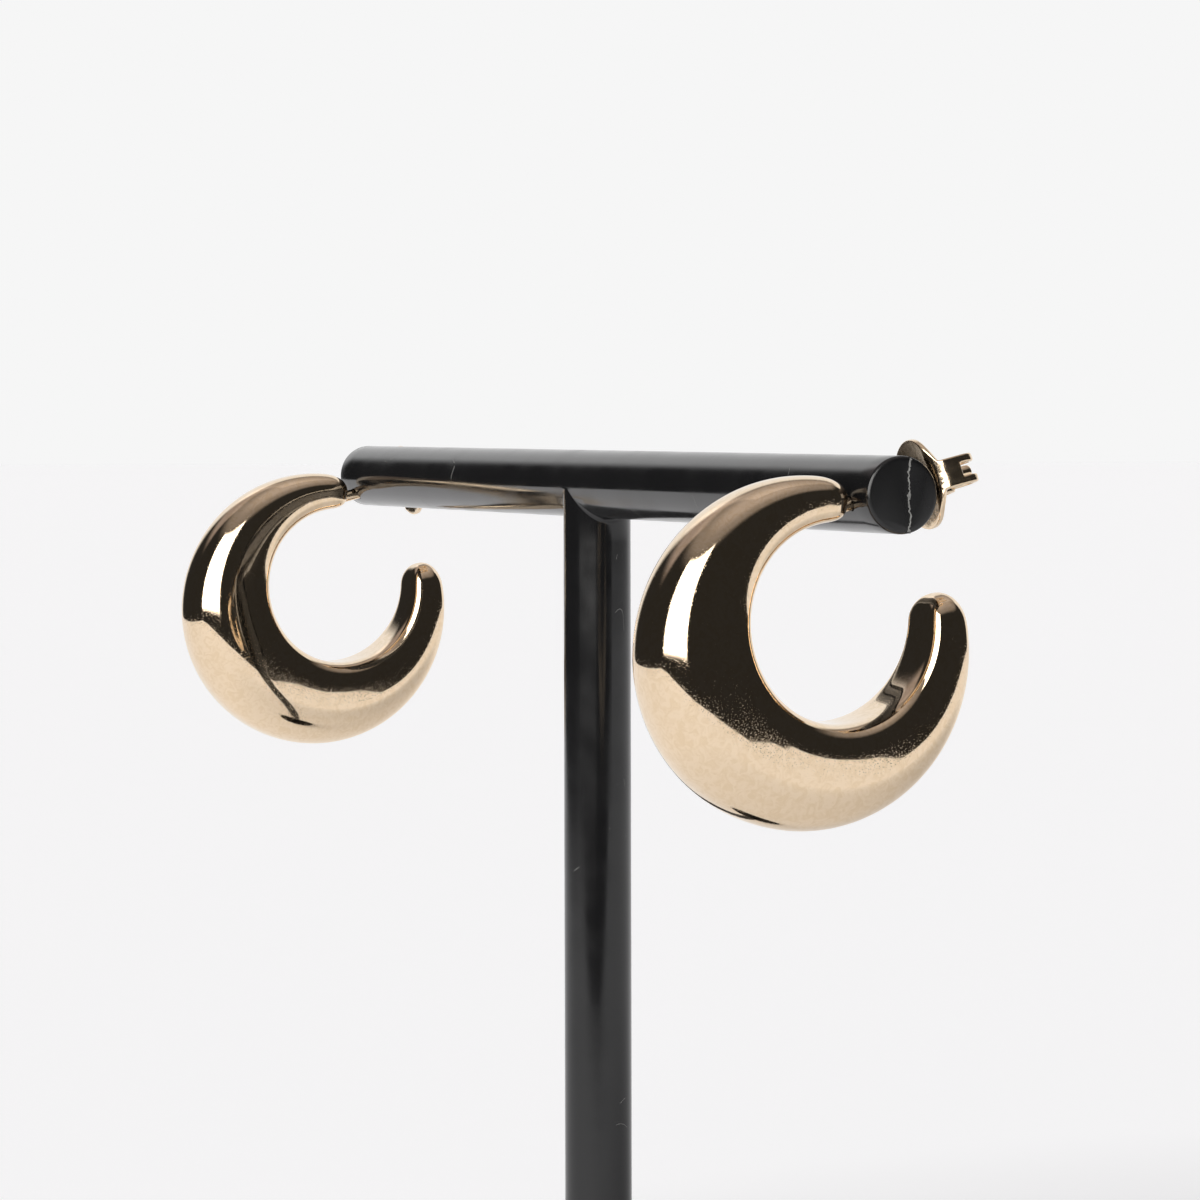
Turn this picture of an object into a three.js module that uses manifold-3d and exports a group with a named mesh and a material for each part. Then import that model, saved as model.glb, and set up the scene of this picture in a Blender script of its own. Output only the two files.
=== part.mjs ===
// A pair of crescent hoop earrings in gold plate, hanging by their posts from a black T-bar display stand.
// Millimetres, +Z up. The crossbar runs along X, the hoops hang on its front (-Y), and the butterfly nuts
// sit on its back (+Y). The origin is the middle of the underside of the base.
import * as THREE from 'three';
import { mergeVertices } from 'three/addons/utils/BufferGeometryUtils.js';
import Module from 'manifold-3d';

// Clearance between neighbours, and how far a cut runs past the face that it opens
const CLEARANCE = 0.3;
const CUT_OVERRUN = 1;

// Stand
const BASE_DIAMETER = 26;
const BASE_THICKNESS = 4;
const BASE_EDGE_CHAMFER = 0.6;
const SOCKET_DEPTH = 2.6;
const BAR_AXIS_HEIGHT = 90;
const BAR_LENGTH = 102;
const BAR_DIAMETER = 5;
const STEM_DIAMETER = 5;
const ROD_END_CHAMFER = 0.3;
const HOLE_FROM_END = 2.7;
const FAR_HOLE_DROP = 1.0;

// Post and the way that it leans in the drilled hole
const POST_DIAMETER = 0.9;
const POST_LENGTH = 9.6;
const POST_TILT_DEG = 13.5;
const POST_WELD_DEPTH = 1.0;
const POST_BELOW_TIP_MIDDLE = 0.2;
const TIP_STANDOFF = 0.5;
const POST_END_ROUNDING = 0.2;

// Crescent hoop: an inner circle and a larger outer one that is set off towards the belly.
// Angles are measured at the inner centre, from the post's direction, over the top and round.
const INNER_RADIUS = 6.0;
const OUTER_RADIUS = 11.3;
const BELLY_OFFSET = 2.68;
const BELLY_ANGLE_DEG = 213.4;
const UPPER_TIP_ANGLE_DEG = 71.6;
const LOWER_TIP_ANGLE_DEG = 359.6;
const TIP_ROUNDING_LENGTH = 1.9;

// Egg-shaped section of the hoop: a flatter half inside and a rounder half outside, joined where it is
// widest. The exponents say how full each half is, and the rounded tips, from 2 for an ellipse upwards.
const TIP_WIDTH = 4.4;
const BELLY_WIDTH = 7.85;
const WIDEST_SHARE = 0.5;
const INSIDE_FULLNESS = 2.9;
const OUTSIDE_FULLNESS = 2.3;
const TIP_FULLNESS = 2.15;

// Butterfly nut
const PLATE_DIAMETER = 5.9;
const PLATE_THICKNESS = 0.4;
const PLATE_BEND = 0.35;
const COLLAR_WALL = 0.35;
const COLLAR_HEIGHT = 0.45;
const NUT_TURN_DEG = 12;
const WING_WIDTH = 1.9;
const WING_FOLD_RADIUS = 1.05;
const WING_STRAIGHT = 0.95;
const WING_CURL_DEG = 200;

// Facets, and the distance under which two corners are one
const ROD_SIDES = 40;
const BASE_SIDES = 72;
const POST_SIDES = 20;
const PLATE_SIDES = 40;
const PLATE_RINGS = 6;
const HOOP_STEPS = 56;
const HOOP_SECTION_SIDES = 26;
const HOOP_TIP_STEPS = 4;
const CURL_STEPS = 12;
const SAME_CORNER = 1e-5;

// Sizes worked out from the ones above
const BAR_RADIUS = BAR_DIAMETER / 2;
const STEM_RADIUS = STEM_DIAMETER / 2;
const POST_RADIUS = POST_DIAMETER / 2;
const PLATE_RADIUS = PLATE_DIAMETER / 2;
const HOLE_RADIUS = POST_RADIUS + CLEARANCE;
const HOLE_X = BAR_LENGTH / 2 - HOLE_FROM_END;
const SOCKET_FLOOR = BASE_THICKNESS - SOCKET_DEPTH;
const BAR_FACE = BAR_RADIUS + CLEARANCE;
const TIP_FACE = BAR_FACE + TIP_STANDOFF;
const POST_END = POST_LENGTH - TIP_FACE;
const WING_CURL_RADIUS = (PLATE_RADIUS - POST_RADIUS - CLEARANCE) / 2;
const FOLD_START = PLATE_RADIUS - WING_FOLD_RADIUS;
const POST_TILT = THREE.MathUtils.degToRad(POST_TILT_DEG);
const BELLY_ANGLE = THREE.MathUtils.degToRad(BELLY_ANGLE_DEG);
const UPPER_TIP_ANGLE = THREE.MathUtils.degToRad(UPPER_TIP_ANGLE_DEG);
const LOWER_TIP_ANGLE = THREE.MathUtils.degToRad(LOWER_TIP_ANGLE_DEG);

const GOLD = { color: 0xd9b48a, metalness: 1, roughness: 0.14 };
const BLACK_PLASTIC = { color: 0x101011, metalness: 0, roughness: 0.2 };

const wasm = await Module();
wasm.setup();

// Turns a closed skin of triangles into a solid that can be joined and cut
function solid(geometry) {
  const bare = geometry.clone();
  bare.deleteAttribute('normal');
  bare.deleteAttribute('uv');
  const merged = mergeVertices(bare, SAME_CORNER);
  const mesh = new wasm.Mesh({
    numProp: 3,
    vertProperties: new Float32Array(merged.attributes.position.array),
    triVerts: new Uint32Array(merged.index.array),
  });
  return new wasm.Manifold(mesh);
}

// Turns such a solid back into a skin of triangles
function skinOf(body) {
  const mesh = body.getMesh();
  const geometry = new THREE.BufferGeometry();
  geometry.setAttribute('position', new THREE.BufferAttribute(mesh.vertProperties, 3));
  geometry.setIndex(new THREE.BufferAttribute(mesh.triVerts, 1));
  geometry.computeVertexNormals();
  return geometry;
}

function namedMesh(name, geometry, finish) {
  const mesh = new THREE.Mesh(geometry, new THREE.MeshStandardMaterial(finish));
  mesh.name = name;
  return mesh;
}

// A round rod along +Y from start to end, its profile turned about its axis, with chamfered ends
function rod(radius, start, end, chamferStart, chamferEnd, sides) {
  const profile = [
    new THREE.Vector2(0, start),
    new THREE.Vector2(radius - chamferStart, start),
    new THREE.Vector2(radius, start + chamferStart),
    new THREE.Vector2(radius, end - chamferEnd),
    new THREE.Vector2(radius - chamferEnd, end),
    new THREE.Vector2(0, end),
  ];
  return new THREE.LatheGeometry(profile, sides);
}

// A cylinder along +Y between two places, for cutting
function cutter(radius, start, end, sides) {
  const length = end - start;
  return new THREE.CylinderGeometry(radius, radius, length, sides).translate(0, start + length / 2, 0);
}

// The base: a plain round foot with a chamfered rim and a blind socket for the stem
function baseGeometry() {
  const foot = rod(BASE_DIAMETER / 2, 0, BASE_THICKNESS, BASE_EDGE_CHAMFER, BASE_EDGE_CHAMFER, BASE_SIDES);
  const socket = cutter(STEM_RADIUS + CLEARANCE, SOCKET_FLOOR, BASE_THICKNESS + CUT_OVERRUN, ROD_SIDES);
  return skinOf(solid(foot).subtract(solid(socket))).rotateX(Math.PI / 2);
}

// The T-bar: stem and crossbar are one moulding, with a hole drilled near each end of the crossbar
function tBarGeometry(holes) {
  const bar = rod(BAR_RADIUS, -BAR_LENGTH / 2, BAR_LENGTH / 2, ROD_END_CHAMFER, ROD_END_CHAMFER, ROD_SIDES);
  bar.rotateZ(-Math.PI / 2).translate(0, 0, BAR_AXIS_HEIGHT);
  const stem = rod(STEM_RADIUS, SOCKET_FLOOR + CLEARANCE, BAR_AXIS_HEIGHT, ROD_END_CHAMFER, 0, ROD_SIDES);
  stem.rotateX(Math.PI / 2);
  let moulding = solid(bar).add(solid(stem));
  for (const hole of holes) {
    const drill = cutter(HOLE_RADIUS, -BAR_DIAMETER, BAR_DIAMETER, POST_SIDES);
    drill.rotateX(POST_TILT).translate(hole.x, hole.y, hole.z);
    moulding = moulding.subtract(solid(drill));
  }
  return skinOf(moulding);
}

// Distance from the inner centre to the outer circle, at an angle round the crescent
function outerDistance(angle) {
  const along = BELLY_OFFSET * Math.cos(angle - BELLY_ANGLE);
  const across = BELLY_OFFSET * Math.sin(angle - BELLY_ANGLE);
  return along + Math.sqrt(OUTER_RADIUS ** 2 - across ** 2);
}

// The section's size at an angle: thickness grows from the tips to the belly, and the width with it
function sectionAt(angle) {
  const thickness = outerDistance(angle) - INNER_RADIUS;
  const tip = outerDistance(UPPER_TIP_ANGLE) - INNER_RADIUS;
  const belly = OUTER_RADIUS + BELLY_OFFSET - INNER_RADIUS;
  const width = THREE.MathUtils.mapLinear(thickness, tip, belly, TIP_WIDTH, BELLY_WIDTH);
  return { thickness, width };
}

// A point of the egg-shaped section at a turn from 0 to 2 pi: how far it lies to the side, and how far
// out from the inner circle
function sectionPoint({ thickness, width }, turn) {
  const cosine = Math.cos(turn);
  const sine = Math.sin(turn);
  const outside = sine >= 0;
  const height = thickness * (outside ? 1 - WIDEST_SHARE : WIDEST_SHARE);
  const power = 2 / (outside ? OUTSIDE_FULLNESS : INSIDE_FULLNESS);
  return {
    sideways: (width / 2) * Math.sign(cosine) * Math.abs(cosine) ** power,
    outwards: thickness * WIDEST_SHARE + height * Math.sign(sine) * Math.abs(sine) ** power,
  };
}

// The place along the crescent of one ring of the sphere that it is bent from: an angle, and how much of
// its full section the ring has, which falls to nothing over the rounded tips
function stepAlong(ring) {
  const tipTurn = TIP_ROUNDING_LENGTH / (INNER_RADIUS + sectionAt(UPPER_TIP_ANGLE).thickness / 2);
  const fromTip = Math.min(ring, HOOP_STEPS - ring);
  if (fromTip < HOOP_TIP_STEPS) {
    const quarter = (fromTip / HOOP_TIP_STEPS) * (Math.PI / 2);
    const power = 2 / TIP_FULLNESS;
    const turn = tipTurn * (1 - Math.cos(quarter) ** power);
    const angle = ring < HOOP_TIP_STEPS ? UPPER_TIP_ANGLE + turn : LOWER_TIP_ANGLE - turn;
    return { angle, size: Math.sin(quarter) ** power };
  }
  const share = (ring - HOOP_TIP_STEPS) / (HOOP_STEPS - 2 * HOOP_TIP_STEPS);
  return { angle: THREE.MathUtils.lerp(UPPER_TIP_ANGLE + tipTurn, LOWER_TIP_ANGLE - tipTurn, share), size: 1 };
}

// The crescent, bent from a sphere: each ring of the sphere becomes a section, and its poles the two tips.
// It lies in the plane of Y (along the post) and Z, with the middle of its upper tip at the origin.
function crescentGeometry() {
  const sphere = new THREE.SphereGeometry(1, HOOP_SECTION_SIDES, HOOP_STEPS);
  const position = sphere.attributes.position;
  const tipRadius = INNER_RADIUS + sectionAt(UPPER_TIP_ANGLE).thickness / 2;
  const centreY = -tipRadius * Math.cos(UPPER_TIP_ANGLE);
  const centreZ = -tipRadius * Math.sin(UPPER_TIP_ANGLE);
  const columns = HOOP_SECTION_SIDES + 1;
  for (let ring = 0; ring <= HOOP_STEPS; ring += 1) {
    const { angle, size } = stepAlong(ring);
    const section = sectionAt(angle);
    const middle = section.thickness / 2;
    for (let column = 0; column < columns; column += 1) {
      const turn = (1 - (column % HOOP_SECTION_SIDES) / HOOP_SECTION_SIDES) * 2 * Math.PI;
      const point = sectionPoint(section, turn);
      const distance = INNER_RADIUS + middle + (point.outwards - middle) * size;
      const y = centreY + distance * Math.cos(angle);
      const z = centreZ + distance * Math.sin(angle);
      position.setXYZ(ring * columns + column, point.sideways * size, y, z);
    }
  }
  return sphere;
}

// One earring: the crescent with its post soldered into the upper tip, leaned to hang in the drilled hole
function earringGeometry() {
  const crescent = crescentGeometry().translate(0, -TIP_FACE, POST_BELOW_TIP_MIDDLE);
  const post = rod(POST_RADIUS, -TIP_FACE - POST_WELD_DEPTH, POST_END, 0, POST_END_ROUNDING, POST_SIDES);
  return skinOf(solid(crescent).add(solid(post))).rotateX(POST_TILT);
}

// A wing of the nut: a strip that is folded up out of the plate and curls in beside the post
function wingGeometry() {
  const inside = WING_FOLD_RADIUS - PLATE_THICKNESS;
  const curlX = PLATE_RADIUS - WING_CURL_RADIUS;
  const curlY = WING_FOLD_RADIUS + WING_STRAIGHT;
  const curl = THREE.MathUtils.degToRad(WING_CURL_DEG);
  const outline = new THREE.Shape();
  outline.moveTo(FOLD_START, 0);
  outline.absarc(FOLD_START, WING_FOLD_RADIUS, WING_FOLD_RADIUS, -Math.PI / 2, 0, false);
  outline.lineTo(PLATE_RADIUS, curlY);
  outline.absarc(curlX, curlY, WING_CURL_RADIUS, 0, curl, false);
  outline.absarc(curlX, curlY, WING_CURL_RADIUS - PLATE_THICKNESS, curl, 0, true);
  outline.lineTo(PLATE_RADIUS - PLATE_THICKNESS, WING_FOLD_RADIUS);
  outline.absarc(FOLD_START, WING_FOLD_RADIUS, inside, 0, -Math.PI / 2, true);
  outline.closePath();
  const wing = new THREE.ExtrudeGeometry(outline, {
    depth: WING_WIDTH,
    bevelEnabled: false,
    curveSegments: CURL_STEPS,
  });
  return wing.translate(0, 0, -WING_WIDTH / 2);
}

// The nut's plate: a disc with a short collar round the post's hole. Its two lobes are bent down over the
// bar, and its two sides are folded up with the wings.
function plateGeometry() {
  const collar = HOLE_RADIUS + COLLAR_WALL;
  const rings = [];
  for (let ring = 0; ring <= PLATE_RINGS; ring += 1) {
    rings.push(THREE.MathUtils.lerp(collar, PLATE_RADIUS, ring / PLATE_RINGS));
  }
  const profile = [
    new THREE.Vector2(HOLE_RADIUS, 0),
    ...rings.map((radius) => new THREE.Vector2(radius, 0)),
    ...rings.reverse().map((radius) => new THREE.Vector2(radius, PLATE_THICKNESS)),
    new THREE.Vector2(collar, PLATE_THICKNESS + COLLAR_HEIGHT),
    new THREE.Vector2(HOLE_RADIUS, PLATE_THICKNESS + COLLAR_HEIGHT),
    new THREE.Vector2(HOLE_RADIUS, 0),
  ];
  const plate = new THREE.LatheGeometry(profile, PLATE_SIDES);
  const position = plate.attributes.position;
  for (let corner = 0; corner < position.count; corner += 1) {
    const x = position.getX(corner);
    const bend = PLATE_BEND * (position.getZ(corner) / PLATE_RADIUS) ** 2;
    const beyondFold = Math.max(Math.abs(x) - FOLD_START, 0);
    const turn = beyondFold / WING_FOLD_RADIUS;
    const radius = WING_FOLD_RADIUS - position.getY(corner);
    if (beyondFold > 0) {
      position.setX(corner, Math.sign(x) * (FOLD_START + radius * Math.sin(turn)));
      position.setY(corner, WING_FOLD_RADIUS - radius * Math.cos(turn));
    }
    position.setY(corner, position.getY(corner) - bend);
  }
  return plate;
}

// The butterfly nut: plate and two wings, turned on the post so that one wing sits higher
function nutGeometry() {
  const wing = wingGeometry();
  const nut = solid(plateGeometry()).add(solid(wing)).add(solid(wing.clone().rotateY(Math.PI)));
  const turn = THREE.MathUtils.degToRad(NUT_TURN_DEG);
  return skinOf(nut).rotateY(-turn).translate(0, BAR_FACE, 0).rotateX(POST_TILT);
}

const places = {
  near: new THREE.Vector3(HOLE_X, 0, BAR_AXIS_HEIGHT),
  far: new THREE.Vector3(-HOLE_X, 0, BAR_AXIS_HEIGHT - FAR_HOLE_DROP),
};

const model = new THREE.Group();
model.add(namedMesh('stand_base', baseGeometry(), BLACK_PLASTIC));
model.add(namedMesh('stand_t_bar', tBarGeometry(Object.values(places)), BLACK_PLASTIC));
for (const [name, place] of Object.entries(places)) {
  const earring = new THREE.Group();
  earring.position.copy(place);
  earring.add(namedMesh(`${name}_hoop`, earringGeometry(), GOLD));
  earring.add(namedMesh(`${name}_butterfly_nut`, nutGeometry(), GOLD));
  model.add(earring);
}

export default model;
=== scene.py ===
# A pair of crescent hoop earrings in polished pale gold, hung on a glossy black T-bar display stand
import math
import random
import bmesh
import bpy
from mathutils import Matrix, Vector


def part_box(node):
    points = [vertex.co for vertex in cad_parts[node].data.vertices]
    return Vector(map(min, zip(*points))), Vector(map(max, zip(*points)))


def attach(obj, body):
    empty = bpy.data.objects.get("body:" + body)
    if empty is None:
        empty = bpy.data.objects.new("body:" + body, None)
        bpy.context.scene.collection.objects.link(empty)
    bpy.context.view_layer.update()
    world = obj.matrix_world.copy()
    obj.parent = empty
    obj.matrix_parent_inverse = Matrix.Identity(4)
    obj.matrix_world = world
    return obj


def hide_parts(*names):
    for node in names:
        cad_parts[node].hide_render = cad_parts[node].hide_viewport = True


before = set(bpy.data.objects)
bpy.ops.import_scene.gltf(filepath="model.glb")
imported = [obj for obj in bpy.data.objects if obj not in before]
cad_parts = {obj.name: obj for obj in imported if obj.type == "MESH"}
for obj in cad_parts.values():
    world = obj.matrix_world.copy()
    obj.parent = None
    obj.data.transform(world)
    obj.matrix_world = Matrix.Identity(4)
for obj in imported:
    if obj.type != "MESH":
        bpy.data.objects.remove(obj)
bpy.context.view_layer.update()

# Camera
# A long lens a little above the crossbar, looking down the bar from the near earring's side. Its place,
# turn and length were fitted to the outlines of the hoops, the stem and the bar's end.
MM = 0.001
CAMERA_PLACE = Vector((302.98, -124.41, 95.22)) * MM
CAMERA_AZIMUTH = math.radians(67.64)
CAMERA_PITCH = math.radians(2.414)
CAMERA_ROLL = math.radians(-0.125)
SENSOR_WIDTH = 36.0
FOCAL_LENGTH_IN_PIXELS = 4431.4
PICTURE_WIDTH_IN_PIXELS = 1200

back = Vector((
    math.sin(CAMERA_AZIMUTH) * math.cos(CAMERA_PITCH),
    -math.cos(CAMERA_AZIMUTH) * math.cos(CAMERA_PITCH),
    math.sin(CAMERA_PITCH),
))
level_right = (-back).cross(Vector((0, 0, 1))).normalized()
level_up = level_right.cross(-back)
right = level_right * math.cos(CAMERA_ROLL) + level_up * math.sin(CAMERA_ROLL)
up = level_up * math.cos(CAMERA_ROLL) - level_right * math.sin(CAMERA_ROLL)
camera_data = bpy.data.cameras.new("photo_camera")
camera_data.lens = SENSOR_WIDTH * FOCAL_LENGTH_IN_PIXELS / PICTURE_WIDTH_IN_PIXELS
camera_data.sensor_width = SENSOR_WIDTH
camera_data.clip_start = 10 * MM
camera = bpy.data.objects.new("photo_camera", camera_data)
camera.matrix_world = Matrix.Translation(CAMERA_PLACE) @ Matrix((right, up, back)).transposed().to_4x4()
bpy.context.scene.collection.objects.link(camera)
bpy.context.scene.camera = camera
bpy.context.scene.view_settings.view_transform = "Standard"


# Studio
# A white sweep behind, one large softbox to the left of the camera, a dim ceiling and an unlit room round
# the camera. Polished gold shows nothing but these, so each one has its own place in the sky.
def linear(hex_colour):
    """An sRGB hex colour as linear red, green, blue and alpha."""
    parts = [int(hex_colour[i:i + 2], 16) / 255 for i in (1, 3, 5)]
    return (*[p / 12.92 if p <= 0.04045 else ((p + 0.055) / 1.055) ** 2.4 for p in parts], 1.0)


def add(tree, kind, settings=None, **inputs):
    """Adds a node: its settings by name, and its inputs by name as values or as other nodes' outputs."""
    made = tree.nodes.new(kind)
    for name, value in (settings or {}).items():
        setattr(made, name, value)
    for name, value in inputs.items():
        key = int(name[1:]) if name[0] == "i" and name[1:].isdigit() else name.replace("_", " ")
        if isinstance(value, bpy.types.NodeSocket):
            tree.links.new(value, made.inputs[key])
        else:
            made.inputs[key].default_value = value
    return made.outputs[0]


UNLIT_ROOM = "#2B2B2B"
BACKDROP = "#F6F6F6"
world = bpy.data.worlds.new("studio")
bpy.context.scene.world = world
world.use_nodes = True
sky = world.node_tree
sky.nodes.clear()
direction = sky.nodes.new("ShaderNodeSeparateXYZ")
sky.links.new(sky.nodes.new("ShaderNodeTexCoord").outputs["Generated"], direction.inputs[0])
minus_y = add(sky, "ShaderNodeMath", {"operation": "MULTIPLY"}, i0=direction.outputs["Y"], i1=-1.0)
azimuth = add(sky, "ShaderNodeMath", {"operation": "ARCTAN2"}, i0=direction.outputs["X"], i1=minus_y)
azimuth = add(sky, "ShaderNodeMath", {"operation": "DEGREES"}, i0=azimuth)
elevation = add(sky, "ShaderNodeMath", {"operation": "ARCSINE"}, i0=direction.outputs["Z"])
elevation = add(sky, "ShaderNodeMath", {"operation": "DEGREES"}, i0=elevation)


def zone(azimuths, elevations, softness, colour, strength):
    """One part of the sky, between angles in degrees, as light that fades over softness degrees at its edges."""
    share = None
    for angle, (low, high) in ((azimuth, azimuths), (elevation, elevations)):
        for edge, sign in ((low, 1), (high, -1)):
            side = add(
                sky, "ShaderNodeMapRange", {"interpolation_type": "SMOOTHSTEP"}, Value=angle,
                From_Min=edge - sign * softness / 2, From_Max=edge + sign * softness / 2,
            )
            if share is None:
                share = side
            else:
                share = add(sky, "ShaderNodeMath", {"operation": "MULTIPLY"}, i0=share, i1=side)
    share = add(sky, "ShaderNodeMath", {"operation": "MULTIPLY"}, i0=share, i1=strength)
    return add(sky, "ShaderNodeVectorMath", {"operation": "SCALE"}, i0=linear(colour)[:3], Scale=share)


softbox = zone((4, 64), (1, 47), 5, "#FFFDFA", 5.0)
sweep_behind = zone((-165, -82), (-90, 42), 10, "#FFFFFF", 0.9)
top_of_sweep = zone((-165, -82), (42, 100), 10, "#FFF4F0", 0.15)
side_of_sweep = zone((-92, -50), (27, 52), 12, "#FFF0EE", 0.32)
ceiling = zone((-200, 200), (48, 100), 16, "#FFF4F0", 0.24)
middle_of_ceiling = zone((-200, 200), (68, 110), 24, "#FFF4F0", 0.2)
light = linear(UNLIT_ROOM)[:3]
for lit in (softbox, sweep_behind, top_of_sweep, side_of_sweep, ceiling, middle_of_ceiling):
    light = add(sky, "ShaderNodeVectorMath", {"operation": "ADD"}, i0=light, i1=lit)
rays = sky.nodes.new("ShaderNodeLightPath")
studio_light = add(sky, "ShaderNodeBackground", Color=light)
plain_backdrop = add(sky, "ShaderNodeBackground", Color=linear(BACKDROP))
background = add(
    sky, "ShaderNodeMixShader", i0=rays.outputs["Is Camera Ray"], i1=studio_light, i2=plain_backdrop,
)
sky.links.new(background, sky.nodes.new("ShaderNodeOutputWorld").inputs["Surface"])

# Table
# A sheet of white card under the stand. The hoops show its front edge, slanting away to the right, as the
# border between their cream lower part and their dark front. Its corners are in mm along and across the view.
SHEET_CORNERS = [
    (-8000, -1500), (-700, -640), (250, -640), (350, -420), (356, 5), (474, 263),
    (711, 630), (800, 930), (2300, 3000), (-8000, 4000),
]
# The card's glow is painted light: weakest, as painted shade, within the first distance of a point beside the
# stand, and strongest beyond the second
SHEET_DROP = 0.1 * MM
PAINTED_SHADE_MIDDLE = Vector((40, 160, 0)) * MM
DIM_WITHIN = 50 * MM
BRIGHT_BEYOND = 250 * MM
DIM_GLOW = 0.08
BRIGHT_GLOW = 0.4
outline = bmesh.new()
outline.faces.new([outline.verts.new((along * MM, across * MM, -SHEET_DROP)) for along, across in SHEET_CORNERS])
bmesh.ops.rotate(
    outline, verts=outline.verts, cent=(0, 0, 0), matrix=Matrix.Rotation(CAMERA_AZIMUTH - math.pi / 2, 3, "Z"),
)
bmesh.ops.triangulate(outline, faces=outline.faces)
sheet_mesh = bpy.data.meshes.new("white_sheet")
outline.to_mesh(sheet_mesh)
outline.free()
sheet = bpy.data.objects.new("white_sheet", sheet_mesh)
bpy.context.scene.collection.objects.link(sheet)

# Matt card scatters the light evenly. Its glow is painted light that the plain sky doesn't give it: weakest round
# a point beside the stand, as painted shade under and round the stand, and strongest far out
card = bpy.data.materials.new("matt_white_card")
card.use_nodes = True
tree = card.node_tree
shader = tree.nodes["Principled BSDF"]
shader.inputs["Base Color"].default_value = linear("#D6D8DC")
shader.inputs["Roughness"].default_value = 0.9
shader.inputs["Emission Color"].default_value = linear("#FFFFFF")
away = tree.nodes.new("ShaderNodeVectorMath")
away.operation = "DISTANCE"
tree.links.new(tree.nodes.new("ShaderNodeTexCoord").outputs["Object"], away.inputs[0])
away.inputs[1].default_value = PAINTED_SHADE_MIDDLE
# Painted light and shade: the card glows more the farther it is from the stand, and less near it
painted_glow = add(
    tree, "ShaderNodeMapRange", Value=away.outputs["Value"],
    From_Min=DIM_WITHIN, From_Max=BRIGHT_BEYOND, To_Min=DIM_GLOW, To_Max=BRIGHT_GLOW,
)
tree.links.new(painted_glow, shader.inputs["Emission Strength"])
sheet_mesh.materials.append(card)

# Black plastic of the stand
# Injection moulded ABS with a high gloss. It is near black, mirrors the studio faintly with a slight
# waviness of the mould, and has hairline scratches and a little pale dust from handling. The near end, where
# the sprue was broken off, is more matt, and the plastic torn up there along the mould's parting line is grey.
ABS_IOR = 1.54
WAVE_WIDTH = 6 * MM
WAVE_HEIGHT = 0.02 * MM
SMUDGE_WIDTH = 4 * MM
CLEAN_ROUGHNESS = 0.10
SMUDGED_ROUGHNESS = 0.19
MARKED_ROUGHNESS = 0.35
BROKEN_ROUGHNESS = 0.15
DUST_SPACING = 1.1 * MM
DUST_RADIUS = 0.04 * MM
HAIR_BEND = 3.5 * MM
HAIR_FINENESS = 0.0025
HAIR_RARITY = 0.64
BROKEN_BEYOND = 50.9 * MM
TORN_BEYOND = 51.01 * MM
abs_plastic = bpy.data.materials.new("moulded_gloss_black_abs")
abs_plastic.use_nodes = True
tree = abs_plastic.node_tree
shader = tree.nodes["Principled BSDF"]
shader.inputs["IOR"].default_value = ABS_IOR
place = tree.nodes.new("ShaderNodeTexCoord").outputs["Object"]
waves = add(tree, "ShaderNodeTexNoise", Vector=place, Scale=1 / WAVE_WIDTH, Detail=1.0)
relief = add(tree, "ShaderNodeBump", Height=waves, Distance=WAVE_HEIGHT, Strength=0.4)
tree.links.new(relief, shader.inputs["Normal"])

specks = add(tree, "ShaderNodeTexVoronoi", Vector=place, Scale=1 / DUST_SPACING)
spread = add(tree, "ShaderNodeTexNoise", Vector=place, Scale=1 / DUST_SPACING, Detail=0.0)
speck_size = add(
    tree, "ShaderNodeMapRange", Value=spread, From_Min=0.5, From_Max=0.75,
    To_Min=0.0, To_Max=DUST_RADIUS / DUST_SPACING,
)
dust = add(tree, "ShaderNodeMath", {"operation": "LESS_THAN"}, i0=specks, i1=speck_size)
bends = add(tree, "ShaderNodeTexNoise", Vector=place, Scale=1 / HAIR_BEND, Detail=0.5)
hairs = add(tree, "ShaderNodeMath", {"operation": "COMPARE"}, i0=bends, i1=0.5, i2=HAIR_FINENESS)
patches = add(tree, "ShaderNodeTexNoise", Vector=place, Scale=1 / SMUDGE_WIDTH, Detail=2.0)
patches = add(tree, "ShaderNodeMath", {"operation": "GREATER_THAN"}, i0=patches, i1=HAIR_RARITY)
hairs = add(tree, "ShaderNodeMath", {"operation": "MULTIPLY"}, i0=hairs, i1=patches)
marks = add(tree, "ShaderNodeMath", {"operation": "MAXIMUM"}, i0=dust, i1=hairs)

axes = tree.nodes.new("ShaderNodeSeparateXYZ")
tree.links.new(place, axes.inputs[0])
broken = add(tree, "ShaderNodeMath", {"operation": "GREATER_THAN"}, i0=axes.outputs["X"], i1=BROKEN_BEYOND)
torn = add(tree, "ShaderNodeMath", {"operation": "GREATER_THAN"}, i0=axes.outputs["X"], i1=TORN_BEYOND)
greyed = add(tree, "ShaderNodeMath", {"operation": "MAXIMUM"}, i0=torn, i1=marks)
smudges = add(tree, "ShaderNodeTexNoise", Vector=place, Scale=1 / SMUDGE_WIDTH, Detail=5.0)
gloss = add(
    tree, "ShaderNodeMapRange", Value=smudges, From_Min=0.35, From_Max=0.7,
    To_Min=CLEAN_ROUGHNESS, To_Max=SMUDGED_ROUGHNESS,
)
gloss = add(tree, "ShaderNodeMath", {"operation": "MULTIPLY_ADD"}, i0=greyed, i1=MARKED_ROUGHNESS, i2=gloss)
gloss = add(tree, "ShaderNodeMath", {"operation": "MULTIPLY_ADD"}, i0=broken, i1=BROKEN_ROUGHNESS, i2=gloss)
tree.links.new(gloss, shader.inputs["Roughness"])
colour = tree.nodes.new("ShaderNodeMix")
colour.data_type = "RGBA"
tree.links.new(greyed, colour.inputs["Factor"])
colour.inputs[6].default_value = linear("#131314")
colour.inputs[7].default_value = linear("#747472")
tree.links.new(colour.outputs[2], shader.inputs["Base Color"])


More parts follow.
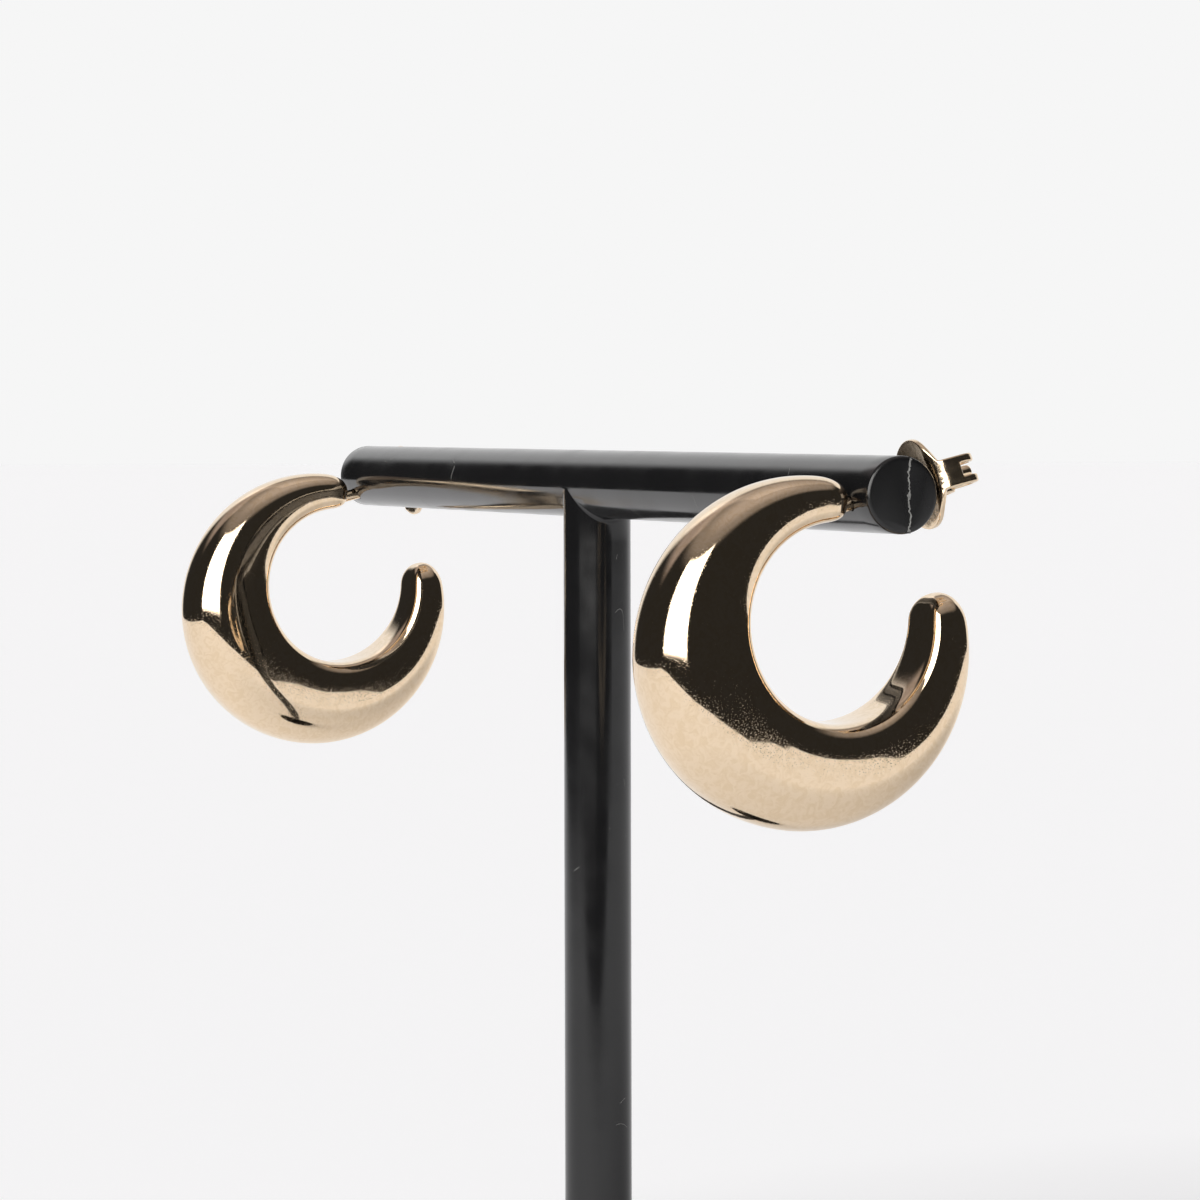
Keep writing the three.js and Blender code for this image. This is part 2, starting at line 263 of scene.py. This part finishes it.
# Crossbar and stem
# One moulding of glossy black plastic: a round crossbar on a round stem of the same 5 mm thickness, with a
# small fillet where they meet, a rounded rim on each end and a hole drilled through near each end. A ragged
# ridge of torn plastic runs down the near end.
def applied(name, base, *tools):
    """The mesh of base after each tool, an operation with its bmesh, has been joined to it or cut from it."""
    objects = []
    for number, piece in enumerate([base, *[tool for _, tool in tools]]):
        shape = bpy.data.meshes.new(f"{name}_{number}")
        piece.to_mesh(shape)
        piece.free()
        objects.append(bpy.data.objects.new(f"{name}_{number}", shape))
        bpy.context.scene.collection.objects.link(objects[-1])
    for (operation, _), tool in zip(tools, objects[1:]):
        change = objects[0].modifiers.new(tool.name, "BOOLEAN")
        change.operation = operation
        change.solver = "EXACT"
        change.object = tool
    shape = bpy.data.meshes.new_from_object(objects[0].evaluated_get(bpy.context.evaluated_depsgraph_get()))
    for used in objects:
        bpy.data.objects.remove(used)
    result = bmesh.new()
    result.from_mesh(shape)
    return result


def finished(name, shape, material, node, sharp=35):
    """Links a piece made of a bmesh, smooth but for its sharp edges, under the root, and hides its CAD node."""
    bmesh.ops.remove_doubles(shape, verts=shape.verts, dist=0.0005 * MM)
    bmesh.ops.recalc_face_normals(shape, faces=shape.faces)
    for face in shape.faces:
        face.smooth = True
    for edge in shape.edges:
        edge.smooth = edge.is_manifold and edge.calc_face_angle(0) < math.radians(sharp)
    made = bpy.data.meshes.new(name)
    shape.to_mesh(made)
    shape.free()
    made.materials.append(material)
    piece = bpy.data.objects.new(name, made)
    bpy.context.scene.collection.objects.link(piece)
    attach(piece, "root")
    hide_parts(node)


ON_PLANE = 0.0001 * MM
RIM_FACE_INSET = 0.05 * MM


def round_bar(radius, length, segments, step, rim=0, rim_ends=()):
    """A round bar from z = 0 to length, cut into rings a step apart, with a rounded rim on some ends."""
    shape = bmesh.new()
    bmesh.ops.create_cone(
        shape, cap_ends=True, segments=segments, radius1=radius, radius2=radius, depth=length,
        matrix=Matrix.Translation((0, 0, length / 2)),
    )
    for end in rim_ends:
        rims = [
            edge for edge in shape.edges
            if all(abs(vert.co.z - end * length) < ON_PLANE for vert in edge.verts)
        ]
        bmesh.ops.bevel(shape, geom=rims, offset=rim, segments=5, profile=0.5, affect="EDGES", material=-1)
        faces = [face for face in shape.faces if abs(face.calc_center_median().z - end * length) < ON_PLANE]
        bmesh.ops.inset_region(shape, faces=faces, thickness=RIM_FACE_INSET)
    for ring in range(1, round(length / step)):
        bmesh.ops.bisect_plane(
            shape, geom=[*shape.verts, *shape.edges, *shape.faces],
            plane_co=(0, 0, ring * step), plane_no=(0, 0, 1),
        )
    return shape


BAR_AXIS_HEIGHT = 90 * MM
POST_TILT = math.radians(13.5)
STEM_RADIUS = 2.485 * MM
RIM = 0.3 * MM
HOLE_RADIUS = 0.5 * MM
HOLE_FROM_END = 2.7 * MM
FAR_HOLE_DROP = 1.0 * MM
low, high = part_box("stand_t_bar")
bar_length = high[0] - low[0]
bar_radius = high[2] - BAR_AXIS_HEIGHT
hole_x = bar_length / 2 - HOLE_FROM_END
hole_heights = {"near": BAR_AXIS_HEIGHT, "far": BAR_AXIS_HEIGHT - FAR_HOLE_DROP}

bar = round_bar(bar_radius, bar_length, 96, 2 * MM, RIM, (0, 1))
bmesh.ops.translate(bar, verts=bar.verts, vec=(0, 0, -bar_length / 2))
bmesh.ops.rotate(bar, verts=bar.verts, cent=(0, 0, 0), matrix=Matrix.Rotation(math.pi / 2, 3, "Y"))
bmesh.ops.translate(bar, verts=bar.verts, vec=(0, 0, BAR_AXIS_HEIGHT))

# The ridge is extruded up the end face in short steps, wider at its middle and its foot, and follows the rim
RIDGE_SIDE = 0.42 * MM
RIDGE_STEPS = 56
RIDGE_WIDTH = 0.06
RIDGE_WIDER_AT_MIDDLE = 0.1
RIDGE_WIDER_AT_FOOT = 0.22
RIDGE_FROM_RIM = 0.06 * MM
RIDGE_ROOT = 0.1 * MM
chance = random.Random(4)
ridge = bmesh.new()
drift = 0.0
for step in range(RIDGE_STEPS + 1):
    along = step / RIDGE_STEPS * 2 - 1
    drift = 0.75 * drift + chance.uniform(-0.06, 0.06) * MM
    at_middle = math.exp(-(along / 0.06) ** 2)
    at_foot = math.exp(-((along + 1) / 0.07) ** 2)
    wide = RIDGE_WIDTH + RIDGE_WIDER_AT_MIDDLE * at_middle + RIDGE_WIDER_AT_FOOT * at_foot
    half = (wide + chance.uniform(-0.03, 0.04)) * MM
    rise = chance.uniform(0.03, 0.11) * MM
    height = along * (bar_radius - RIDGE_FROM_RIM)
    beyond_flat = max(abs(height) - (bar_radius - RIM), 0)
    surface = bar_length / 2 - RIM + math.sqrt(RIM ** 2 - beyond_flat ** 2)
    across = RIDGE_SIDE + drift
    corners = [Vector((x, y, BAR_AXIS_HEIGHT + height)) for x, y in (
        (surface - RIDGE_ROOT, across - half),
        (surface + rise * 0.5, across - half * 0.7),
        (surface + rise, across + half * 0.5),
        (surface - RIDGE_ROOT, across + half),
    )]
    if step == 0:
        top = ridge.faces.new([ridge.verts.new(corner) for corner in corners])
        continue
    top = bmesh.ops.extrude_discrete_faces(ridge, faces=[top])["faces"][0]
    for vert, corner in zip(top.verts, corners):
        vert.co = corner
bmesh.ops.holes_fill(ridge, edges=ridge.edges, sides=4)
bmesh.ops.triangulate(ridge, faces=ridge.faces)
bmesh.ops.recalc_face_normals(ridge, faces=ridge.faces)

# The stem's top rings are lifted to the bar's underside and flared out where the two curves leave a corner
FILLET = 0.45 * MM
FILLET_RINGS = 8
FILLET_RING_STEP = 0.01 * MM
FILLET_OVERLAP = 0.02 * MM
STEM_TOP_OVERLAP = 0.6 * MM
stem_foot = low[2]
stem_length = BAR_AXIS_HEIGHT - stem_foot
stem = round_bar(STEM_RADIUS, stem_length, 96, 4 * MM, RIM, (0,))
for ring in range(FILLET_RINGS + 1):
    bmesh.ops.bisect_plane(
        stem, geom=[*stem.verts, *stem.edges, *stem.faces],
        plane_co=(0, 0, stem_length - (FILLET_RINGS + 1 - ring) * FILLET_RING_STEP), plane_no=(0, 0, 1),
    )
lowest_ring = stem_length - (FILLET_RINGS + 1.5) * FILLET_RING_STEP
rings = sorted({round(vert.co.z, 7) for vert in stem.verts if vert.co.z > lowest_ring})
for vert in stem.verts:
    height = round(vert.co.z, 7)
    if height not in rings:
        continue
    quarter = min(rings.index(height) / FILLET_RINGS, 1) * math.pi / 2
    flare = FILLET * (vert.co.x / STEM_RADIUS) ** 2
    reach = (STEM_RADIUS + flare * (1 - math.cos(quarter))) / math.hypot(vert.co.x, vert.co.y)
    vert.co.x *= reach
    vert.co.y *= reach
    saddle = math.sqrt(max(bar_radius ** 2 - vert.co.y ** 2, 0))
    inside = FILLET_OVERLAP if height < rings[-1] else STEM_TOP_OVERLAP
    vert.co.z = stem_length - saddle - flare * (1 - math.sin(quarter)) + inside * math.sin(quarter)
bmesh.ops.translate(stem, verts=stem.verts, vec=(0, 0, stem_foot))

drills = []
for side, height in ((1, hole_heights["near"]), (-1, hole_heights["far"])):
    drill = round_bar(HOLE_RADIUS, 4 * bar_radius, 48, 20 * MM)
    bmesh.ops.translate(drill, verts=drill.verts, vec=(0, 0, -2 * bar_radius))
    turn = Matrix.Rotation(POST_TILT - math.pi / 2, 3, "X")
    bmesh.ops.rotate(drill, verts=drill.verts, cent=(0, 0, 0), matrix=turn)
    bmesh.ops.translate(drill, verts=drill.verts, vec=(side * hole_x, 0, height))
    drills.append(("DIFFERENCE", drill))
t_bar = applied("t_bar", bar, ("UNION", stem), ("UNION", ridge), *drills)
finished("crossbar_and_stem", t_bar, abs_plastic, "stand_t_bar")

# Foot of the stand
# A flat round disc of the same plastic with a softly rounded rim, and a socket that the stem is pushed into.
# The rim is a 0.9 mm round, as on any small moulded base.
FOOT_RIM = 0.9 * MM
SOCKET_GAP = 0.25 * MM
low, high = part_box("stand_base")
foot = round_bar(high[0], high[2], 160, 10 * MM, FOOT_RIM, (0, 1))
socket = round_bar(STEM_RADIUS + SOCKET_GAP, high[2], 96, 10 * MM)
bmesh.ops.translate(socket, verts=socket.verts, vec=(0, 0, stem_foot - SOCKET_GAP))
foot = applied("foot", foot, ("DIFFERENCE", socket))
finished("round_foot", foot, abs_plastic, "stand_base")

# Gold of the hoops
# Brass plated with a thin pale rose-tinged gold and buffed to a mirror. The buffing leaves faint swirling
# smears, a slight waviness, and very fine pits that fray the edges of the brightest reflections. Real pits
# are finer than 0.1 mm, and are drawn at that width so that they show.
SMEAR_WIDTH = 0.6 * MM
PIT_WIDTH = 0.1 * MM
PIT_DEPTH = 0.01 * MM
DENT_WIDTH = 5 * MM
DENT_DEPTH = 0.02 * MM
BUFFED_ROUGHNESS = 0.025
SMEARED_ROUGHNESS = 0.06


def gold_plate(name):
    """A pale gold plate tinted by its buffing smears: the material, its tree, shader, coordinates and smears."""
    material = bpy.data.materials.new(name)
    material.use_nodes = True
    plate = material.node_tree
    surface = plate.nodes["Principled BSDF"]
    surface.inputs["Metallic"].default_value = 1.0
    where = plate.nodes.new("ShaderNodeTexCoord").outputs["Object"]
    swirls = add(
        plate, "ShaderNodeTexNoise", Vector=where, Scale=1 / SMEAR_WIDTH, Detail=3.0, Distortion=1.5,
    )
    tint = plate.nodes.new("ShaderNodeMix")
    tint.data_type = "RGBA"
    smeared = add(plate, "ShaderNodeMapRange", Value=swirls, From_Min=0.42, From_Max=0.62)
    plate.links.new(smeared, tint.inputs["Factor"])
    tint.inputs[6].default_value = linear("#F5DEC0")
    tint.inputs[7].default_value = linear("#EFD6B4")
    plate.links.new(tint.outputs[2], surface.inputs["Base Color"])
    return material, plate, surface, where, swirls


gold, tree, shader, place, smears = gold_plate("buffed_pale_gold_plate")
gloss = add(
    tree, "ShaderNodeMapRange", Value=smears, From_Min=0.35, From_Max=0.7,
    To_Min=BUFFED_ROUGHNESS, To_Max=SMEARED_ROUGHNESS,
)
tree.links.new(gloss, shader.inputs["Roughness"])
dents = add(tree, "ShaderNodeTexNoise", Vector=place, Scale=1 / DENT_WIDTH, Detail=1.0)
wavy = add(tree, "ShaderNodeBump", Height=dents, Distance=DENT_DEPTH, Strength=0.15)
pits = add(tree, "ShaderNodeTexNoise", Vector=place, Scale=1 / PIT_WIDTH, Detail=1.0)
pits = add(tree, "ShaderNodeMapRange", Value=pits, From_Min=0.6, From_Max=0.85)
relief = add(tree, "ShaderNodeBump", Height=pits, Distance=PIT_DEPTH, Strength=0.2, Normal=wavy)
tree.links.new(relief, shader.inputs["Normal"])

# Hoops
# Each is a hollow crescent, pressed in two halves and soldered, seen as one skin: thin at the two rounded
# tips and fat at the belly, with a flatter inner side. The ear post is soldered into the upper tip.
INNER_RADIUS = 6.0 * MM
OUTER_RADIUS = 11.3 * MM
BELLY_OFFSET = 2.68 * MM
BELLY_ANGLE = math.radians(213.4)
UPPER_TIP = math.radians(71.6)
LOWER_TIP = math.radians(359.6)
UPPER_TIP_ROUNDING = 1.85 * MM
LOWER_TIP_ROUNDING = 1.9 * MM
TIP_WIDTH = 4.4 * MM
BELLY_WIDTH = 7.85 * MM
INSIDE_FULLNESS = 4.2
LOWER_ARM_FULLNESS = 5.0
LOWER_ARM_START = 0.55
LOWER_ARM_EASE = 0.25
WALL_SET_BACK = 0.38 * MM
OUTSIDE_FULLNESS = 2.3
UPPER_TIP_FULLNESS = 2.45
UPPER_TIP_REACH = 0.25 * MM
LOWER_TIP_FULLNESS = 2.15
TIP_SHARE = 0.06
CLEARANCE = 0.3 * MM
TIP_STANDOFF = 0.5 * MM
POST_BELOW_TIP_MIDDLE = 0.2 * MM
POST_RADIUS = 0.45 * MM
POST_ROOT = 0.9 * MM
POST_LENGTH = 9.6 * MM
GROOVE_DEPTH = 0.07 * MM
SOLDER_RADIUS = POST_RADIUS + 0.1 * MM
bar_face = bar_radius + CLEARANCE
tip_face = bar_face + TIP_STANDOFF
post_end = POST_LENGTH - tip_face


def outer_distance(angle):
    """How far the hoop's outside is from its inner centre, at an angle round that centre."""
    across = BELLY_OFFSET * math.sin(angle - BELLY_ANGLE)
    return BELLY_OFFSET * math.cos(angle - BELLY_ANGLE) + math.sqrt(OUTER_RADIUS ** 2 - across ** 2)


def section_at(angle):
    """Thickness and width of the crescent at an angle round its inner centre."""
    thickness = outer_distance(angle) - INNER_RADIUS
    tip = outer_distance(UPPER_TIP) - INNER_RADIUS
    belly = OUTER_RADIUS + BELLY_OFFSET - INNER_RADIUS
    return thickness, TIP_WIDTH + (BELLY_WIDTH - TIP_WIDTH) * (thickness - tip) / (belly - tip)


def power_of(value, power):
    """A power that keeps the value's sign, which turns an ellipse into a fuller rounded section."""
    return math.copysign(abs(value) ** power, value)


def crescent():
    """A sphere bent into the crescent: its poles are the tips and its rings the sections."""
    shape = bmesh.new()
    bmesh.ops.create_uvsphere(shape, u_segments=112, v_segments=240, radius=1.0)
    tip_radius = INNER_RADIUS + section_at(UPPER_TIP)[0] / 2
    centre_y = -tip_radius * math.cos(UPPER_TIP)
    centre_z = -tip_radius * math.sin(UPPER_TIP)
    upper_end = UPPER_TIP - UPPER_TIP_REACH / tip_radius
    upper_turn = UPPER_TIP_ROUNDING / tip_radius
    lower_turn = LOWER_TIP_ROUNDING / tip_radius
    for vert in shape.verts:
        share = math.acos(max(-1.0, min(1.0, vert.co.z))) / math.pi
        turn = -math.atan2(vert.co.y, vert.co.x)
        from_tip = min(share, 1 - share)
        size = 1.0
        if from_tip < TIP_SHARE:
            quarter = from_tip / TIP_SHARE * math.pi / 2
            power = 2 / (UPPER_TIP_FULLNESS if share < 0.5 else LOWER_TIP_FULLNESS)
            inset = 1 - power_of(math.cos(quarter), power)
            size = power_of(math.sin(quarter), power)
            angle = upper_end + upper_turn * inset if share < 0.5 else LOWER_TIP - lower_turn * inset
        else:
            along = (share - TIP_SHARE) / (1 - 2 * TIP_SHARE)
            first, last = upper_end + upper_turn, LOWER_TIP - lower_turn
            angle = first + along * (last - first)
        thickness, width = section_at(angle)
        on_lower_arm = max(0.0, min(1.0, (share - LOWER_ARM_START) / LOWER_ARM_EASE))
        inside = INSIDE_FULLNESS + (LOWER_ARM_FULLNESS - INSIDE_FULLNESS) * on_lower_arm
        power = 2 / (OUTSIDE_FULLNESS if math.sin(turn) >= 0 else inside)
        sideways = width / 2 * power_of(math.cos(turn), power) * size
        half = (thickness - WALL_SET_BACK) / 2
        distance = INNER_RADIUS + thickness - half * (1 - power_of(math.sin(turn), power) * size)
        vert.co = Vector((
            sideways,
            centre_y + distance * math.cos(angle),
            centre_z + distance * math.sin(angle),
        ))
    return shape


def post():
    """The ear post along +Y, with a small fillet of solder at the hoop, a groove for the nut and a domed end."""
    shape = bmesh.new()
    outline = [
        (0, -tip_face - POST_ROOT),
        (SOLDER_RADIUS, -tip_face - POST_ROOT),
        (SOLDER_RADIUS, -tip_face),
        (POST_RADIUS + 0.03 * MM, -tip_face + 0.06 * MM),
        (POST_RADIUS, -tip_face + 0.15 * MM),
        (POST_RADIUS, post_end - 1.5 * MM),
        (POST_RADIUS - GROOVE_DEPTH, post_end - 1.35 * MM),
        (POST_RADIUS - GROOVE_DEPTH, post_end - 1.15 * MM),
        (POST_RADIUS, post_end - 1.0 * MM),
        (POST_RADIUS, post_end - 0.25 * MM),
        (POST_RADIUS * 0.86, post_end - 0.1 * MM),
        (POST_RADIUS * 0.5, post_end - 0.02 * MM),
        (0, post_end),
    ]
    verts = [shape.verts.new((radius, along, 0)) for radius, along in outline]
    edges = [shape.edges.new(pair) for pair in zip(verts, verts[1:])]
    bmesh.ops.spin(
        shape, geom=[*verts, *edges], cent=(0, 0, 0), axis=(0, 1, 0), angle=2 * math.pi, steps=40, use_merge=True,
    )
    bmesh.ops.remove_doubles(shape, verts=shape.verts, dist=0.001 * MM)
    return shape


def merged(*shapes):
    """Several bmeshes in one."""
    whole = bmesh.new()
    for part in shapes:
        scratch = bpy.data.meshes.new("scratch")
        part.to_mesh(scratch)
        part.free()
        whole.from_mesh(scratch)
        bpy.data.meshes.remove(scratch)
    return whole


lean = Matrix.Rotation(POST_TILT, 4, "X")
for name, side in (("near", 1), ("far", -1)):
    hang = Matrix.Translation((side * hole_x, 0, hole_heights[name])) @ lean
    curve = crescent()
    bmesh.ops.translate(curve, verts=curve.verts, vec=(0, -tip_face, POST_BELOW_TIP_MIDDLE))
    earring = merged(curve, post())
    bmesh.ops.transform(earring, matrix=hang, verts=earring.verts)
    finished(f"{name}_crescent_hoop", earring, gold, f"{name}_hoop", sharp=60)

# Gold of the nuts
# Thin stamped brass strip, tumbled bright and plated with the same gold. Its finish is less even than the
# hoops': small tool marks and rounded burrs break the reflections into short glints.
NUT_MARK_WIDTH = 0.5 * MM
NUT_MARK_DEPTH = 0.04 * MM
TUMBLED_ROUGHNESS = 0.12
DULLED_ROUGHNESS = 0.26
nut_gold, tree, shader, place, _ = gold_plate("tumbled_pale_gold_plate")
marks = add(tree, "ShaderNodeTexNoise", Vector=place, Scale=1 / NUT_MARK_WIDTH, Detail=3.0)
relief = add(tree, "ShaderNodeBump", Height=marks, Distance=NUT_MARK_DEPTH, Strength=0.8)
tree.links.new(relief, shader.inputs["Normal"])
gloss = add(
    tree, "ShaderNodeMapRange", Value=marks, From_Min=0.35, From_Max=0.7,
    To_Min=TUMBLED_ROUGHNESS, To_Max=DULLED_ROUGHNESS,
)
tree.links.new(gloss, shader.inputs["Roughness"])

# Butterfly nuts
# Each is stamped flat from one strip, a round plate with a narrow tongue on either side. The tongues are
# folded up and curled in until their notched ends grip the post, the plate's two lobes are bent down over
# the bar, and a short collar stands round the post's hole.
PLATE_RADIUS = 2.95 * MM
PLATE_THICKNESS = 0.4 * MM
PLATE_BEND = 0.35 * MM
PLATE_DISH = 0.5 * MM
EDGE_ROUNDING = 0.12 * MM
CORNER_BLEND = 0.35 * MM
COLLAR_HEIGHT = 0.45 * MM
COLLAR_WALL = 0.3 * MM
COLLAR_ROOT = 0.06 * MM
COLLAR_LIP = 0.1 * MM
NUT_TURN = math.radians(12)
WING_WIDTH = 1.9 * MM
FOLD_RADIUS = 1.05 * MM
WING_STRAIGHT = 0.95 * MM
WING_CURL = math.radians(200)
NOTCH_DEPTH_BELOW_CURL = 0.25 * MM
NOTCH_SHARE = 0.45
curl_radius = (PLATE_RADIUS - POST_RADIUS - CLEARANCE) / 2
nut_hole = POST_RADIUS + CLEARANCE
fold_start = PLATE_RADIUS - FOLD_RADIUS
fold_length = FOLD_RADIUS * math.pi / 2
curl_start = fold_length + WING_STRAIGHT
strip_length = fold_start + curl_start + curl_radius * WING_CURL


def half_width(along):
    """Half the flat stamping's width: the round plate's, or the tongue's, eased from one to the other."""
    plate = math.sqrt(max(PLATE_RADIUS ** 2 - along ** 2, 0)) - WING_WIDTH / 2
    return WING_WIDTH / 2 + (plate + math.hypot(plate, CORNER_BLEND / 2)) / 2


def folded(along, height):
    """Where a point of the tongue goes when it is folded up and curled in: along the plate, and up."""
    beyond = along - fold_start
    if beyond < fold_length:
        turn = beyond / FOLD_RADIUS
        inner = FOLD_RADIUS - height
        return fold_start + inner * math.sin(turn), FOLD_RADIUS - inner * math.cos(turn)
    if beyond < curl_start:
        return PLATE_RADIUS - height, FOLD_RADIUS + beyond - fold_length
    turn = (beyond - curl_start) / curl_radius
    inner = curl_radius - height
    curl_height = FOLD_RADIUS + WING_STRAIGHT
    return PLATE_RADIUS - curl_radius + inner * math.cos(turn), curl_height + inner * math.sin(turn)


def stamping():
    """The flat stamping, rounded at its edges, then folded and bent."""
    shape = bmesh.new()
    bmesh.ops.create_grid(shape, x_segments=160, y_segments=14, size=1.0)
    notch_start = fold_start + curl_start - NOTCH_DEPTH_BELOW_CURL
    for vert in shape.verts:
        along = vert.co.x * strip_length
        vert.co = (along, vert.co.y * half_width(along), 0)
    notch = [
        face for face in shape.faces
        if abs(face.calc_center_median().x) > notch_start
        and abs(face.calc_center_median().y) < NOTCH_SHARE * WING_WIDTH / 2
    ]
    bmesh.ops.delete(shape, geom=notch, context="FACES")
    raised = bmesh.ops.extrude_face_region(shape, geom=list(shape.faces))["geom"]
    lifted = [item for item in raised if isinstance(item, bmesh.types.BMVert)]
    bmesh.ops.translate(shape, verts=lifted, vec=(0, 0, PLATE_THICKNESS))
    bmesh.ops.recalc_face_normals(shape, faces=shape.faces)
    rims = [edge for edge in shape.edges if edge.calc_face_angle(0) > math.radians(60)]
    bmesh.ops.bevel(
        shape, geom=rims, offset=EDGE_ROUNDING, segments=3, profile=0.5, affect="EDGES", material=-1,
    )
    for vert in shape.verts:
        along, height = abs(vert.co.x), vert.co.z
        dish = PLATE_DISH * (min(along, fold_start) / PLATE_RADIUS) ** 2
        if along > fold_start:
            along, height = folded(along, height)
        bend = PLATE_BEND * (vert.co.y / PLATE_RADIUS) ** 2
        vert.co = (math.copysign(along, vert.co.x), vert.co.y, height - bend - dish)
    return shape


def collar():
    """The drawn collar round the post's hole, a ring with rounded lips that starts inside the plate."""
    shape = bmesh.new()
    inside = nut_hole - 0.03 * MM
    outside = inside + COLLAR_WALL
    top = PLATE_THICKNESS + COLLAR_HEIGHT
    outline = [
        (inside, COLLAR_ROOT),
        (outside + 0.25 * MM, COLLAR_ROOT),
        (outside + 0.2 * MM, PLATE_THICKNESS + 0.04 * MM),
        (outside + 0.04 * MM, PLATE_THICKNESS + 0.16 * MM),
        (outside, top - COLLAR_LIP),
        (inside + COLLAR_WALL * 0.67, top),
        (inside + COLLAR_WALL * 0.33, top),
        (inside, top - COLLAR_LIP),
    ]
    verts = [shape.verts.new((radius, 0, along)) for radius, along in outline]
    edges = [shape.edges.new(pair) for pair in zip(verts, [*verts[1:], verts[0]])]
    bmesh.ops.spin(
        shape, geom=[*verts, *edges], cent=(0, 0, 0), axis=(0, 0, 1), angle=2 * math.pi, steps=64, use_merge=True,
    )
    bmesh.ops.recalc_face_normals(shape, faces=shape.faces)
    return shape


for name, side in (("near", 1), ("far", -1)):
    punch = round_bar(nut_hole, 2 * MM, 64, 5 * MM)
    bmesh.ops.translate(punch, verts=punch.verts, vec=(0, 0, -MM))
    nut = applied(f"{name}_nut", stamping(), ("DIFFERENCE", punch), ("UNION", collar()))
    seat = (
        Matrix.Translation((side * hole_x, 0, hole_heights[name])) @ lean @ Matrix.Translation((0, bar_face, 0))
        @ Matrix.Rotation(-NUT_TURN, 4, "Y") @ Matrix.Rotation(-math.pi / 2, 4, "X")
    )
    bmesh.ops.transform(nut, matrix=seat, verts=nut.verts)
    finished(f"{name}_nut", nut, nut_gold, f"{name}_butterfly_nut", sharp=40)
